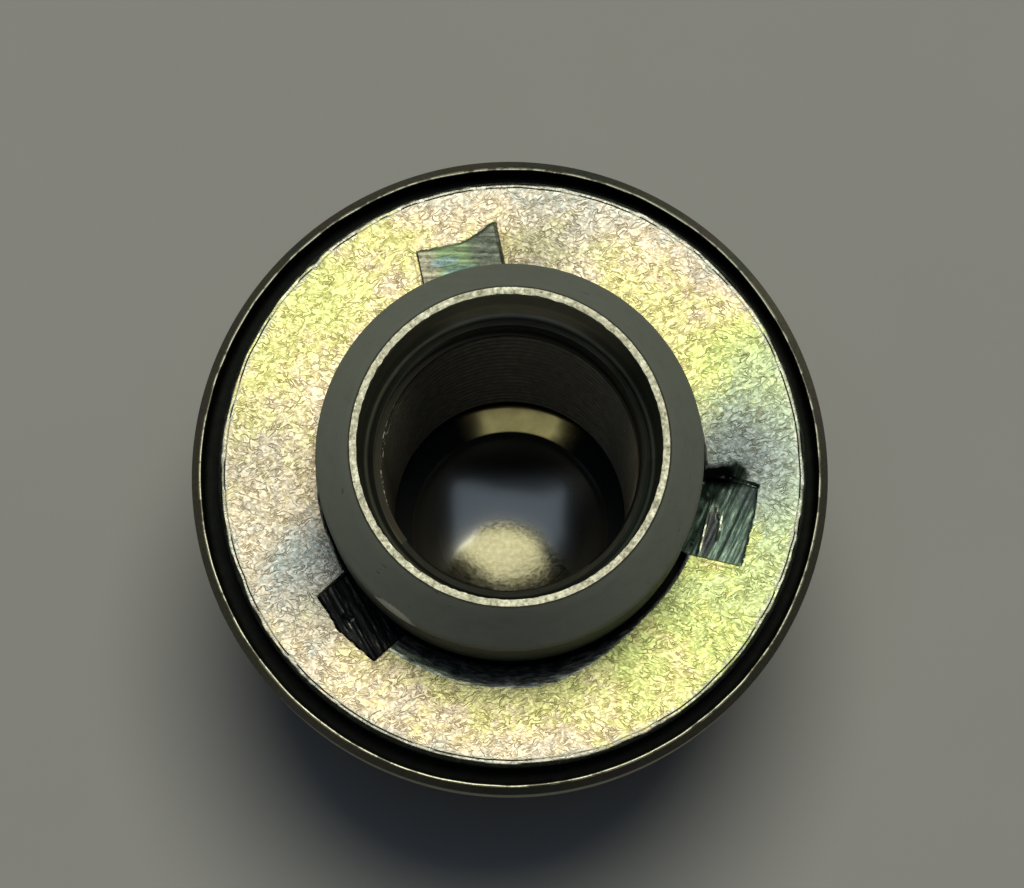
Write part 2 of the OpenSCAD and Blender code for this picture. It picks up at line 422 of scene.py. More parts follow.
def stake_relief(stake, u, x):
    """How far a stake lowers the face at (u, x), and how surely the place is inside it, 0 to 1."""
    low_u, high_u = stake["sides"]
    reach_u, reach_x = zip(*stake["reach"])
    edge_x = np.interp(u, reach_u, reach_x) + 0.015 * np.sin(9 * u + stake["angle"])
    to_wall = np.minimum(u - low_u, high_u - u)
    inside = smooth(to_wall / STAKE_WALL) * smooth((edge_x - x) / STAKE_WALL)
    tilt = (u - low_u) / (high_u - low_u)
    bore_depth = stake["depths"][0] + (stake["depths"][1] - stake["depths"][0]) * np.clip(tilt, 0, 1)
    share = np.clip((edge_x - x) / (edge_x - WASHER_BORE_R), 0, 1.3)
    floor = stake["step"] + (bore_depth - stake["step"]) * share
    relief = inside * (floor + stake["scratch"] * scratches(u, x, stake["angle"]))
    ragged = 0.035 * np.sin(11 * u + 7 * x) + 0.025 * np.sin(23 * x - 9 * u)
    for line, width, depth in stake["marks"]:
        mark = depth * bell(near_line(u, x, line) + ragged * min(1, 2 * width), width)
        relief += mark
        if depth > 0.2:
            inside = np.maximum(inside, smooth(mark / 0.12 - 0.6))
    lip = 0.035 * bell(to_wall + 0.09, 0.1) * smooth((edge_x + 0.1 - x) / 0.3)
    return relief - lip * (x > WASHER_BORE_R + 0.3), inside


def washer_columns():
    """Angles of the washer's columns, close together at the stakes."""
    close, wide, half = 0.25, 0.75, 17.5  # degrees
    angles = []
    at = sorted(stake["angle"] for stake in STAKES)
    for here, after in zip(at, at[1:] + [at[0] + 360]):
        angles += list(np.arange(here - half, here + half, close))
        spare = after - here - 2 * half
        angles += list(np.linspace(here + half, after - half, round(spare / wide), endpoint=False))
    return np.radians(np.array(angles))


def off_direction(angle, degrees):
    """Angle from a direction, -pi to pi."""
    return (angle - math.radians(degrees) + math.pi) % TAU - math.pi


def lean_columns(angle, r):
    """Turns columns near a stake parallel to its walls, so that the walls come out straight."""
    turned = angle.copy()
    for stake in STAKES:
        off = off_direction(angle, stake["angle"])
        parallel = np.arcsin(np.clip(WASHER_BORE_R * np.sin(off) / r, -1, 1))
        share = 1 - smooth((np.abs(off) - math.radians(16)) / math.radians(18))
        turned += share * (parallel - off)
    return turned


def bore_bevel_width(angle):
    """Width of the rolled edge round the bore: narrow, but wide on the -Y side, where it was dragged."""
    degrees = np.degrees(angle) % 360
    wide = smooth((degrees - 228) / 10) * smooth((314 - degrees) / 40)
    return 0.14 + 0.97 * wide + 0.02 * wobble(angle, 21, 9, 90, 0.5)


def washer(materials):
    face, bevel, stake_floor, edge, burr = range(5)
    columns = washer_columns()
    disc = Rings(len(columns))
    bevel_w = bore_bevel_width(columns)
    bevel_depth = BORE_BEVEL_DEPTH * bevel_w

    def pressed(r):
        """At a radius: columns' angles, how far the stakes lower the face, and where they have floors."""
        angle = lean_columns(columns, np.maximum(r, WASHER_BORE_R))
        lowered, floor = np.zeros((2, len(columns)))
        for stake in STAKES:
            off = off_direction(angle, stake["angle"])
            u, x = r * np.sin(off), r * np.cos(off)
            relief, inside = stake_relief(stake, u, x)
            here = np.abs(off) < 0.6
            lowered = np.where(here, relief, lowered)
            floor = np.where(here, inside, floor)
        return angle, lowered, floor

    def place(r, z, slot, angle):
        disc.grow(WASHER_AT[0] + r * np.cos(angle), WASHER_AT[1] + r * np.sin(angle), SEAT_Z + z, slot)

    # Underside, wall, and the blanked edge: a step down from the face, with a thin burr
    nick = 0.09 * bell(np.degrees(off_direction(columns, 133.5)), 0.6)
    nick += 0.05 * bell(np.degrees(off_direction(columns, 197)), 1.2)
    ragged = 0.5 + 0.5 * wobble(columns, 31, 6, 120, 0.25)
    drift = 0.035 * wobble(columns, 33, 2, 60, 0.5)
    burr_h = 0.05 * smooth(ragged * 1.3) + 0.006
    outline = [
        (WASHER_BORE_R, 0.12), (WASHER_BORE_R + 0.1, 0), (WASHER_R - 0.25, 0), (WASHER_R - 0.07, 0.07),
        (WASHER_R, 0.25), (WASHER_R, WASHER_T - 0.6), (WASHER_R - 0.03, WASHER_T - 0.36),
        (WASHER_R - 0.1, WASHER_T - 0.21)]
    for r, z in outline:
        place(r, z, edge, lean_columns(columns, r))
    split = smooth(0.5 + 1.4 * wobble(columns, 35, 3, 60, 0.4))
    groove = np.where(split > 0.2, edge, face)
    steps = [
        (-0.13, -0.13 + burr_h, edge), (-0.16, -0.09 + burr_h, burr), (-0.21, -0.07 + 0.6 * burr_h, burr),
        (-0.3, -0.03, face), (-0.325, -0.03 - 0.05 * split, groove), (-0.35, -0.02 - 0.04 * split, groove),
        (-0.375, -0.006, face), (-0.43, 0, face)]
    for out, rise, slot in steps:
        r = WASHER_R + out + drift - nick
        place(r, WASHER_T + rise - 0.5 * nick, slot, lean_columns(columns, r))

    # Face, with the stakes pressed into it, and the bevel round the bore
    stakes_r = 12.6  # no stake reaches out past this
    close = 0.06     # step between the rings inside it
    plain = np.linspace(WASHER_R - 0.62, stakes_r, 5)
    for r in [*plain, *np.arange(stakes_r - close, WASHER_BORE_R + 0.03, -close)]:
        angle, lowered, floor = pressed(r)
        into_bevel = np.clip((WASHER_BORE_R + bevel_w - r) / bevel_w, 0, 1)
        bevel_z = WASHER_T - bevel_depth * into_bevel ** 1.6
        z = np.minimum(WASHER_T - lowered, bevel_z + 0.03 * (lowered < 0))
        z = np.where(floor > 0.5, WASHER_T - lowered, z)
        slot = np.where(floor > 0.4, stake_floor, np.where(into_bevel > 0.02, bevel, face))
        place(r, z, slot, angle)

    # Bore wall, with a tang at each stake
    angle, lowered, floor = pressed(WASHER_BORE_R)
    tang_top = WASHER_T - lowered
    for share in np.linspace(0, 1, 12):
        plain_z = WASHER_T - bevel_depth - 0.02 - share * (WASHER_T - bevel_depth - 0.16)
        path = [0, 0.25, 0.4, 0.65, 0.8, 1]
        tang_r = np.interp(share, path, [
            WASHER_BORE_R, TANG_R + 0.06, TANG_R, TANG_R + 0.03, WASHER_BORE_R - 0.1, WASHER_BORE_R])
        drop = np.interp(share, path, [0, 0.12, 0.3, 1, 1.2, 1.4])
        tang_z = np.maximum(tang_top - drop, 0.15 + 0.02 * (1 - share))
        tang_z = tang_z + (0.14 - tang_z) * smooth((share - 0.8) / 0.2)
        r = WASHER_BORE_R + floor * (tang_r - WASHER_BORE_R + 0.05 * wobble(columns, 41, 30, 140, 0.3))
        z = plain_z + floor * (tang_z - plain_z)
        place(r, z, np.where(floor > 0.4, stake_floor, bevel), angle)
    disc.join(len(disc.points) - 1, 0, edge)
    return disc.piece("washer_staked", materials, 35)


# ------------ materials

RUB_AND_HIGHLIGHT_ANGLE = 233.4           # direction of the pale rub on the shank's corner, partly a painted highlight
PAINTED_HIGHLIGHT_COLOUR = (1, 0.98, 0.7)  # the lead-in bore's painted highlight, a pale stripe on its +Y wall


def fill_ramp(node, stops):
    """Gives a ramp node its stops: (place, grey or colour)."""
    elements = node.color_ramp.elements
    while len(elements) < len(stops):
        elements.new(0.5)
    for element, (place, colour) in zip(elements, stops):
        element.position = place
        shade = colour if isinstance(colour, tuple) else (colour,) * 3
        element.color = (*shade, 1)


def plug(tree, socket, value):
    """Links a socket to a node's output, or sets it to a plain value."""
    if isinstance(value, bpy.types.NodeSocket):
        tree.links.new(value, socket)
    else:
        socket.default_value = value


def add_node(tree, kind, inputs=None, **settings):
    made = tree.nodes.new(kind)
    for key, value in settings.items():
        setattr(made, key, value)
    for key, value in (inputs or {}).items():
        plug(tree, made.inputs[key], value)
    return made


class Finish:
    """A material, with short calls for the nodes that these finishes use. Coordinates are millimetres."""

    def __init__(self, name, metallic, roughness, specular=0.5):
        self.material = bpy.data.materials.new(name)
        self.material.use_nodes = True
        self.tree = self.material.node_tree
        self.tree.nodes.clear()
        self.shader = self.node("ShaderNodeBsdfPrincipled", {
            "Metallic": metallic, "Roughness": roughness, "Specular IOR Level": specular})
        self.node("ShaderNodeOutputMaterial", {"Surface": self.shader.outputs["BSDF"]})
        coords = self.node("ShaderNodeTexCoord").outputs["Object"]
        self.mm = self.vector("MULTIPLY", coords, (1 / MM,) * 3)

    def node(self, kind, inputs=None, **settings):
        return add_node(self.tree, kind, inputs, **settings)

    def set(self, key, value):
        plug(self.tree, self.shader.inputs[key], value)

    def maths(self, operation, *values):
        return self.node("ShaderNodeMath", dict(enumerate(values)), operation=operation).outputs[0]

    def times(self, first, *others):
        for other in others:
            first = self.maths("MULTIPLY", first, other)
        return first

    def plus(self, first, second):
        return self.maths("ADD", first, second)

    def minus(self, first, second):
        return self.maths("SUBTRACT", first, second)

    def blend(self, first, second, share):
        """The first value's share, and the second's rest."""
        return self.plus(self.times(first, share), self.times(second, 1 - share))

    def vector(self, operation, *values):
        made = self.node("ShaderNodeVectorMath", dict(enumerate(values)), operation=operation)
        return made.outputs["Value" if operation == "LENGTH" else "Vector"]

    def reach(self, place, centre, scales):
        """Distance of a place from a centre, with each axis scaled."""
        off = self.vector("SUBTRACT", place, centre)
        return self.vector("LENGTH", self.vector("MULTIPLY", off, scales))

    def tall(self, share):
        """Coordinates with Z cut to this share, so that a pattern is drawn out along Z."""
        return self.vector("MULTIPLY", self.mm, (1, 1, share))

    def from_washer(self):
        """Coordinates from the washer's own centre."""
        return self.vector("SUBTRACT", self.mm, (*WASHER_AT, 0))

    def turned(self, vector, degrees):
        """Coordinates in axes turned about Z, so that X points along `degrees`."""
        inputs = {"Vector": vector, "Angle": -math.radians(degrees)}
        return self.node("ShaderNodeVectorRotate", inputs, rotation_type="Z_AXIS").outputs[0]

    def joined(self, x, y, z):
        return self.node("ShaderNodeCombineXYZ", {0: x, 1: y, 2: z}).outputs[0]

    def split(self, vector):
        return self.node("ShaderNodeSeparateXYZ", {0: vector}).outputs[:3]

    def polar(self, vector):
        """Radius, and the turn about Z from 0 at +X up to 1."""
        x, y, _ = self.split(vector)
        turn = self.maths("DIVIDE", self.maths("ARCTAN2", y, x), TAU)
        return self.reach(vector, (0, 0, 0), (1, 1, 0)), self.maths("FRACT", self.plus(turn, 1))

    def step(self, value, low, high):
        """0 at low, 1 at high, with an even S between."""
        inputs = {"Value": value, "From Min": low, "From Max": high}
        return self.node("ShaderNodeMapRange", inputs, interpolation_type="SMOOTHSTEP").outputs[0]

    def near_turn(self, turn, middle, reach, soft):
        """1 within `reach` of a direction, falling to 0 over `soft`. All are shares of a turn."""
        return self.step(self.maths("ABSOLUTE", self.minus(turn, middle)), reach + soft, reach)

    def noise(self, scale, detail, roughness, distortion=0, vector=None):
        inputs = {"Vector": vector or self.mm, "Scale": scale, "Detail": detail, "Roughness": roughness,
                  "Distortion": distortion}
        return self.node("ShaderNodeTexNoise", inputs).outputs["Fac"]

    def ramp(self, value, stops, ease="LINEAR"):
        made = self.node("ShaderNodeValToRGB", {"Fac": value})
        made.color_ramp.interpolation = ease
        fill_ramp(made, stops)
        return made.outputs["Color"]

    def mix(self, share, first, second, blend="MIX"):
        ends = [(*end, 1) if isinstance(end, tuple) else end for end in (first, second)]
        inputs = {0: share, 6: ends[0], 7: ends[1]}
        return self.node("ShaderNodeMix", inputs, data_type="RGBA", blend_type=blend).outputs[2]

    def tinted(self, colour, factor):
        """A colour times another colour or a grey factor."""
        if isinstance(factor, float):
            factor = (factor,) * 3
        return self.mix(1, colour, factor, "MULTIPLY")

    def bumped(self, height, depth):
        """The finished material, with bump from a 0 to 1 height that stands for `depth` millimetres."""
        made = self.node("ShaderNodeBump", {"Height": height, "Distance": depth * MM})
        self.set("Normal", made.outputs[0])
        return self.material


def shank_steel():
    """Machined steel with a thin dull coat: matt, mottled, with painted shade by direction and on the -Y
    side, and one pale rub, partly a painted highlight.
    """
    mat = Finish("shank_steel", 0.22, 0.6, 0.3)
    mottle = mat.noise(1.1, 5, 0.65)
    grain = mat.noise(7, 4, 0.7)
    _, _, z = mat.split(mat.mm)
    _, turn = mat.polar(mat.mm)
    lathe = mat.noise(9, 3, 0.6, 0, mat.joined(mat.times(turn, 9), 0, z))
    colour = mat.ramp(mat.blend(mottle, grain, 0.7), [
        (0.3, (0.192, 0.224, 0.192)), (0.5, (0.23, 0.258, 0.218)), (0.7, (0.252, 0.268, 0.22))])
    # Painted shade by direction round the shank, darkest towards +Y and -Y
    colour = mat.tinted(colour, mat.ramp(turn, [
        (0, 0.86), (0.12, 0.8), (0.25, 0.76), (0.375, 0.92), (0.5, 0.98), (0.62, 0.98), (0.75, 0.74),
        (0.87, 0.96), (1, 0.86)]))
    # Painted shade on the -Y side below the corner: darker there, and less shiny
    painted_shade_minus_y = mat.times(mat.step(z, TIP_Z + 0.4, TIP_Z - 0.8), mat.near_turn(turn, 0.75, 0.1, 0.2))
    colour = mat.mix(painted_shade_minus_y, colour, mat.tinted(colour, (0.2, 0.24, 0.24)))
    spot = mat.step(mat.noise(1.7, 2, 0.5), 0.7, 0.76)
    colour = mat.mix(mat.times(spot, 0.5), colour, (0.03, 0.034, 0.032))

    # The rub is longest round the shank, and its edge is ragged. Its pale colour is partly a painted
    # highlight, for a worn facet that the round corner lacks.
    reach = mat.reach(mat.turned(mat.mm, RUB_AND_HIGHLIGHT_ANGLE), (SHANK_R - 0.05, 0, TIP_Z - 0.25), (0.5, 0.84, 1.25))
    reach = mat.plus(reach, mat.times(mat.minus(grain, 0.5), 0.8))
    rub_and_painted_highlight = mat.times(mat.step(reach, 1.1, 0.8), 0.9)
    mat.set("Base Color", mat.mix(rub_and_painted_highlight, colour, (0.72, 0.72, 0.62)))
    outside_painted_shade = mat.minus(1, painted_shade_minus_y)
    mat.set("Metallic", mat.times(outside_painted_shade, 0.22))
    mat.set("Specular IOR Level", mat.plus(0.04, mat.times(outside_painted_shade, 0.26)))
    return mat.bumped(mat.blend(grain, lathe, 0.6), 0.012)


def worn_steel(name, breaks, tone, patch):
    """An edge rubbed through its coat: bright metal, broken by patches where the coat still holds."""
    mat = Finish(name, 1, 0.5)
    fine = mat.noise(5.5, 4, 0.65)
    long = mat.noise(patch, 3, 0.6)
    colour = mat.ramp(fine, [(0.28, (0.5, 0.48, 0.33)), (0.45, (0.84, 0.83, 0.62)), (0.7, (1, 1, 0.82))])
    kept = mat.times(mat.step(long, 0.52, 0.42), breaks)
    mat.set("Base Color", mat.mix(kept, mat.tinted(colour, tone), (0.16, 0.155, 0.115)))
    mat.set("Roughness", mat.ramp(fine, [(0.3, 0.6), (0.7, 0.42)]))
    return mat.bumped(fine, 0.008)


def plated_steel():
    """Drawn and turned steel under a dark film, with faint pink and green tints; darker on the rim, with
    painted shade by direction there.
    """
    mat = Finish("plated_steel", 0.45, 0.5, 0.3)
    colour = mat.ramp(mat.noise(0.28, 3, 0.55), [
        (0.32, (0.18, 0.2376, 0.18)), (0.45, (0.2664, 0.2592, 0.18)), (0.55, (0.2808, 0.2664, 0.1908)),
        (0.68, (0.2736, 0.2088, 0.2376))])
    draw = mat.noise(6, 4, 0.6, 0, mat.tall(0.08))
    grain = mat.noise(5, 4, 0.65)
    marks = mat.blend(draw, grain, 0.5)
    _, turn = mat.polar(mat.mm)
    # On the rim: darker all round, and painted shade by direction, deepest towards -Y and lightest towards
    # +X +Y
    rim_painted_shade = mat.ramp(turn, [
        (0, 0.5), (0.1, 1), (0.2, 0.55), (0.5, 0.52), (0.62, 0.52), (0.74, 0.2), (0.86, 0.34), (1, 0.5)])
    _, _, z = mat.split(mat.mm)
    rim = mat.step(z, CREST_Z - 1.3, CREST_Z - 0.7)
    colour = mat.tinted(colour, mat.mix(rim, (1, 1, 1), (0.5278, 0.5278, 0.5278)))
    colour = mat.tinted(colour, mat.ramp(marks, [(0.3, 0.7), (0.7, 1.25)]))
    mat.set("Base Color", mat.tinted(colour, mat.mix(rim, (1, 1, 1), rim_painted_shade)))
    mat.set("Roughness", mat.ramp(grain, [(0.3, 0.52), (0.7, 0.38)]))
    return mat.bumped(marks, 0.02)


def recess_steel():
    """The turned recess and groove: near-black steel, painted shade in the deep gap."""
    mat = Finish("recess_steel", 0, 0.65, 0.05)
    grain = mat.noise(2, 4, 0.6)
    mat.set("Base Color", mat.ramp(grain, [(0.3, (0.004, 0.005, 0.004)), (0.7, (0.008, 0.009, 0.007))]))
    return mat.bumped(grain, 0.01)


def bore_steel():
    """The lead-in bore and its taper: olive-brown film, fine boring lines, painted shade by direction, and a
    painted highlight on the +Y side.
    """
    mat = Finish("bore_steel", 0.1, 0.5, 0.16)
    _, _, z = mat.split(mat.mm)
    radius, turn = mat.polar(mat.mm)
    lines = mat.noise(7, 3, 0.6, 0, mat.joined(mat.times(turn, 6), 0, z))
    soft = mat.noise(0.8, 3, 0.55)
    colour = mat.ramp(lines, [(0.3, (0.4488, 0.4692, 0.33)), (0.7, (0.7344, 0.7314, 0.5148))])
    # Painted shade by direction: light on the +Y side, nearly black towards -Y
    colour = mat.tinted(colour, mat.ramp(turn, [
        (0, 0.66), (0.06, 0.8), (0.12, 1), (0.3, 1), (0.42, 0.42), (0.5, 0.16), (0.62, 0.14),
        (0.75, 0.04), (0.88, 0.06), (1, 0.4)]))

    # Painted highlight on the +Y side, and the +X side darker and greener
    depth = 7
    share = mat.maths("DIVIDE", mat.minus(z, END_Z - depth), depth)
    painted_highlight_mask = mat.ramp(share, [
        (0, 0), (0.175, 0), (0.205, 0.85), (0.27, 1), (0.46, 1), (0.54, 0.2), (1, 0)])
    painted_highlight_mask = mat.times(painted_highlight_mask, mat.ramp(soft, [(0.35, 0.75), (0.6, 1)]))
    painted_highlight_mask = mat.times(mat.near_turn(turn, 0.243, 0.045, 0.06), painted_highlight_mask)
    colour = mat.mix(painted_highlight_mask, colour, PAINTED_HIGHLIGHT_COLOUR)
    half_on = mat.maths("FRACT", mat.plus(turn, 0.5))
    east = mat.times(mat.near_turn(half_on, 0.5, 0.08, 0.08), 0.75)
    colour = mat.mix(east, colour, (0.034, 0.062, 0.046))

    # Taper: dark, with painted shade where it meets the thread, and a little paler on the -X side
    out = mat.minus(radius, TAPER_TOP_R)
    west = mat.near_turn(turn, 0.46, 0.09, 0.07)
    lower = mat.mix(west, (0.03, 0.031, 0.024), (0.085, 0.11, 0.104))
    lower = mat.mix(mat.step(out, -0.425, -0.485), lower, (0.006, 0.007, 0.006))
    lower = mat.tinted(lower, mat.ramp(lines, [(0.3, 0.7), (0.7, 1.2)]))
    colour = mat.mix(mat.step(out, -0.165, -0.225), colour, lower)

    # The step in to the taper: painted shade in its corner, darker on its lip, with the painted highlight
    # across it
    corner = mat.times(mat.step(out, 0.135, 0.055), mat.step(out, -0.225, -0.165), 0.8)
    colour = mat.mix(corner, colour, (0.004, 0.006, 0.006))
    lip = mat.times(mat.step(out, 0.385, 0.315), mat.step(out, 0.055, 0.135), 0.55)
    colour = mat.mix(lip, colour, (0.03, 0.034, 0.028))
    colour = mat.mix(mat.times(mat.step(out, 0.115, 0.225), painted_highlight_mask), colour, PAINTED_HIGHLIGHT_COLOUR)
    mat.set("Base Color", colour)
    return mat.bumped(lines, 0.012)


def thread_steel():
    """Tapped thread: dull, with painted shade by direction, dark first turns, painted glints on their crests
    towards -X, and a painted highlight on an edge towards +Y.
    """
    mat = Finish("thread_steel", 0, 0.6, 0.06)
    _, _, z = mat.split(mat.mm)
    radius, turn = mat.polar(mat.mm)
    grain = mat.noise(2.5, 4, 0.6)
    colour = mat.ramp(grain, [(0.3, (0.39, 0.36, 0.25)), (0.7, (0.6, 0.53, 0.37))])
    # Painted shade by direction: light towards +Y, darkest towards -X
    colour = mat.tinted(colour, mat.ramp(turn, [
        (0, 0.24), (0.12, 1), (0.25, 1), (0.37, 0.5), (0.48, 0.1), (0.56, 0.1), (0.7, 0.6),
        (0.85, 0.5), (1, 0.24)]))
    # Painted glints on the first crests towards -X, in broken pieces
    crest = mat.step(radius, THREAD_MINOR_R + 0.05, THREAD_MINOR_R + 0.02)
    first = mat.times(mat.step(z, THREAD_START_Z - 4.8, THREAD_START_Z - 3.3), crest)
    wear_and_glint_patches = mat.step(mat.noise(3.2, 3, 0.65), 0.5, 0.62)
    painted_glints = mat.times(first, mat.near_turn(turn, 0.49, 0.04, 0.05), wear_and_glint_patches)
    colour = mat.mix(painted_glints, colour, (0.5, 0.49, 0.44))

    # The first turns are dark down to a painted highlight along an edge on the +Y side
    start = mat.times(mat.step(radius, THREAD_MINOR_R + 0.45, THREAD_MINOR_R + 0.2),
                      mat.step(z, THREAD_START_Z - 2.1, THREAD_START_Z - 1.7), mat.minus(1, painted_glints))
    colour = mat.mix(start, colour, (0.045, 0.042, 0.03))
    low = mat.step(z, THREAD_START_Z - 3.5, THREAD_START_Z - 3.2)
    high = mat.step(z, THREAD_START_Z - 1.9, THREAD_START_Z - 2.2)
    edge = mat.times(crest, mat.near_turn(turn, 0.265, 0.04, 0.05), low, high, 0.7)
    mat.set("Base Color", mat.mix(edge, colour, (0.42, 0.41, 0.34)))
    return mat.bumped(grain, 0.01)


# Patches where the washer's face is painted darker and bluer: (x, y, reach, how dark, how blue)
# The first paints the dark reflection of the face dented beside the stake at 347 degrees
WASHER_DARK_PATCHES = [
    (10.7, 0.7, 4.8, 0.6, 0.85), (0.9, 10.6, 3.2, 0.4, 0.1), (-9.4, -5, 4.4, 0.36, 0.6),
    (-12.4, 0.5, 4.6, 0.16, 0.2), (3, 13, 4.5, 0.12, 0.3)]


def film_thickness(mat, radius, turn):
    """Thickness of the passivate film, 0 to 1: it drifts round the washer and outward, with patches."""
    base = mat.ramp(turn, [
        (0, 0.08), (0.06, 0.2), (0.125, 0.54), (0.25, 0.6), (0.375, 0.43), (0.44, 0.48), (0.5, 0.6),
        (0.56, 0.8), (0.61, 0.6), (0.75, 0.51), (0.87, 0.33), (0.93, 0.27), (1, 0.1)], "EASE")
    lean = mat.ramp(turn, [
        (0, 0.34), (0.08, 0.42), (0.125, 0.74), (0.25, 0.66), (0.375, 0.36), (0.44, 0.34), (0.53, 0.48),
        (0.75, 0.7), (0.87, 0.5), (1, 0.34)], "EASE")
    calm = mat.ramp(turn, [(0, 0.3), (0.06, 0.6), (0.12, 1), (0.88, 1), (0.95, 0.5), (1, 0.3)])
    middle_r = (WASHER_R + WASHER_BORE_R) / 2
    outward = mat.times(mat.minus(radius, middle_r), 0.5, mat.minus(lean, 0.5))
    thickness = mat.plus(base, mat.maths("MAXIMUM", outward, -0.07))
    patches = mat.minus(mat.noise(0.42, 4, 0.68), 0.5)
    thickness = mat.plus(thickness, mat.times(patches, calm, 0.85))
    flecks = mat.minus(mat.noise(2.2, 3, 0.6, 0.4), 0.5)
    thickness = mat.plus(thickness, mat.times(flecks, 0.42))
    return mat.maths("MAXIMUM", thickness, mat.times(base, 0.84))


def film_colour(mat, thickness):
    """Interference tints of a zinc passivate film as it thickens, from blue-grey through yellow to teal."""
    return mat.ramp(thickness, [
        (0, (0.42, 0.5, 0.48)), (0.16, (0.52, 0.62, 0.38)), (0.3, (0.7, 0.78, 0.3)),
        (0.45, (0.84, 0.8, 0.39)), (0.6, (0.85, 0.735, 0.52)), (0.75, (0.75, 0.68, 0.56)),
        (0.88, (0.56, 0.6, 0.54)), (1, (0.42, 0.52, 0.46))])


def crinkles(mat):
    """Short winding furrows, 1 in a furrow, which lean one way in some places and another way in others."""
    leaning = []
    for lean_to, shift in ((-62, 0), (-112, 31)):
        drawn = mat.vector("MULTIPLY", mat.turned(mat.mm, lean_to), (1, 0.48, 1))
        drawn = mat.vector("ADD", drawn, (shift, 7, 3))
        off = mat.maths("ABSOLUTE", mat.minus(mat.noise(4.2, 2, 0.5, 0.8, drawn), 0.5))
        leaning.append(mat.step(off, 0.085, 0))
    which = mat.step(mat.noise(0.9, 2, 0.5), 0.44, 0.56)
    both = mat.plus(mat.times(leaning[0], which), mat.times(leaning[1], mat.minus(1, which)))
    return mat.times(both, mat.ramp(mat.noise(1.6, 2, 0.6), [(0.4, 0.45), (0.6, 1)]))


def washer_zinc():
    """The washer's face: crinkled zinc with an iridescent yellow passivate film."""
    mat = Finish("washer_zinc", 1, 0.6)
    place = mat.from_washer()
    radius, turn = mat.polar(place)
    colour = film_colour(mat, film_thickness(mat, radius, turn))
    # Darker, bluer patches; the first is a painted dark reflection
    for x, y, reach, dark, blue in WASHER_DARK_PATCHES:
        near = mat.step(mat.reach(place, (x, y, 0), (1, 1, 0)), reach, 0.4)
        colour = mat.mix(mat.times(near, blue), colour, (0.5, 0.58, 0.62))
        colour = mat.tinted(colour, mat.minus(1, mat.times(near, dark)))
    # Painted shade by direction round the washer
    painted_shade_by_direction = mat.ramp(turn, [
        (0.06, 1), (0.125, 0.9), (0.19, 0.95), (0.31, 0.91), (0.375, 0.98), (0.56, 0.94), (0.69, 0.99),
        (1, 1)], "EASE")
    colour = mat.tinted(colour, painted_shade_by_direction)
    furrow = crinkles(mat)
    grain = mat.noise(6.5, 2, 0.5, 0.3)
    colour = mat.mix(mat.times(furrow, 0.72), colour, mat.tinted(colour, (0.48, 0.41, 0.26)))
    colour = mat.tinted(colour, mat.ramp(grain, [(0.34, 0.93), (0.52, 1), (0.68, 1.05)]))

    # A broken pale strip along the face's outer edge
    broken = mat.step(mat.noise(1.6, 3, 0.6), 0.36, 0.58)
    pale = mat.times(mat.step(radius, WASHER_R - 0.62, WASHER_R - 0.4), broken, 0.75)
    mat.set("Base Color", mat.mix(pale, colour, (0.7, 0.7, 0.6)))
    mat.set("Roughness", mat.ramp(grain, [(0.3, 0.66), (0.7, 0.54)]))
    return mat.bumped(mat.minus(1, furrow), 0.014)


def washer_bevel():
    """The rolled edge round the bore: dragged metal, its film stretched into blue-grey fibres."""
    mat = Finish("washer_bevel", 0.75, 0.5)
    radius, turn = mat.polar(mat.from_washer())
    out = mat.minus(radius, WASHER_BORE_R)
    round_it = mat.joined(radius, mat.times(turn, 14), 0)
    fibres = mat.noise(5.5, 4, 0.65, 0.2, round_it)
    colour = mat.ramp(fibres, [
        (0.34, (0.04, 0.044, 0.042)), (0.5, (0.26, 0.28, 0.25)), (0.66, (0.8, 0.84, 0.7))])
    # Painted shade: darker within 0.8 mm of the bore, next to the shank
    colour = mat.mix(mat.step(out, 0, 0.8), mat.tinted(colour, 0.6), colour)
    # Painted light on the outer part, on the -X -Y side
    bright = mat.times(mat.near_turn(turn, 0.65, 0.025, 0.05), mat.step(out, 0.4, 0.8))
    mat.set("Base Color", mat.mix(bright, colour, mat.tinted(colour, (1.6, 1.7, 1.4))))
    return mat.bumped(fibres, 0.04)


def washer_edge():
    """The washer's blanked wall: torn and dark."""
    mat = Finish("washer_edge", 0.2, 0.55, 0.2)
    tear = mat.noise(3.5, 4, 0.6, 0.3, mat.tall(0.25))
    mat.set("Base Color", mat.ramp(tear, [
        (0.35, (0.012, 0.016, 0.012)), (0.55, (0.03, 0.036, 0.028)), (0.72, (0.075, 0.085, 0.065))]))
    return mat.bumped(tear, 0.03)


def washer_burr():
    """The thin burr along the washer's edge: bright where it is rubbed, gone in places."""
    mat = Finish("washer_burr", 1, 0.5)
    mat.set("Base Color", mat.ramp(mat.noise(0.55, 4, 0.65), [
        (0.48, (0.015, 0.02, 0.016)), (0.56, (0.12, 0.13, 0.11)), (0.66, (0.42, 0.41, 0.39))]))
    return mat.bumped(mat.noise(5, 3, 0.6), 0.015)


